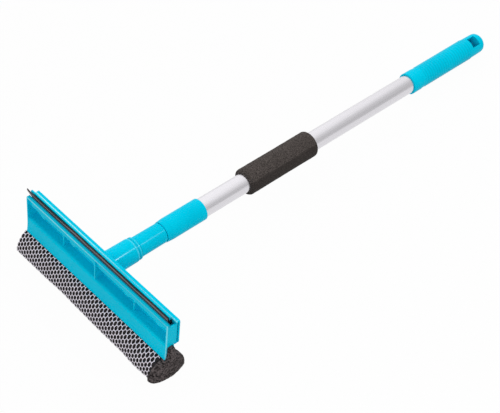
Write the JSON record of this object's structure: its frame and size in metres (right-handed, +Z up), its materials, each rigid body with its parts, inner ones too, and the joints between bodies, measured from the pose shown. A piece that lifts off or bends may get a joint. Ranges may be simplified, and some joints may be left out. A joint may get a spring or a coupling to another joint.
{
  "type": "window squeegee washer",
  "caption": "Window washer: rubber squeegee blade on top of a moulded head, net-covered sponge below, on a round screw-in pole with a foam sleeve and a ribbed end grip.",
  "frame": {"origin": "middle of the bounding box on the floor, with the washer lying on its sponge and on its end grip", "axes": "+X along the blade, +Y from the head towards the hang hole, +Z up, the blade's side"},
  "size_m": [0.211, 0.5562, 0.072],
  "materials": {
    "teal_plastic": "moulded, slightly glossy",
    "blade_rubber": "smooth extruded rubber",
    "charcoal_foam": "open-cell foam, matt",
    "net_thread": "knitted plastic thread over dark foam",
    "tube_aluminium": "drawn and satin polished",
    "screw_steel": "plated"
  },
  "bodies": {
    "head": {"front_housing": "teal_plastic", "rear_cover": "teal_plastic", "squeegee_blade": "blade_rubber", "blade_strip": "teal_plastic", "sponge": "charcoal_foam", "sponge_net": "net_thread", "cover_screw_1": "screw_steel", "cover_screw_2": "screw_steel", "cover_screw_3": "screw_steel", "cover_screw_4": "screw_steel"},
    "pole": {"ferrule": "teal_plastic", "pole_tube": "tube_aluminium", "foam_grip": "charcoal_foam", "end_grip": "teal_plastic"}
  },
  "joints": [
    {"name": "pole_thread", "type": "hinge", "parent": "head", "child": "pole", "pos_m": [0.00155, -0.18173, 0.04626], "axis": [0, 0.997, -0.0776], "range_deg": [0, 180]}
  ]
}
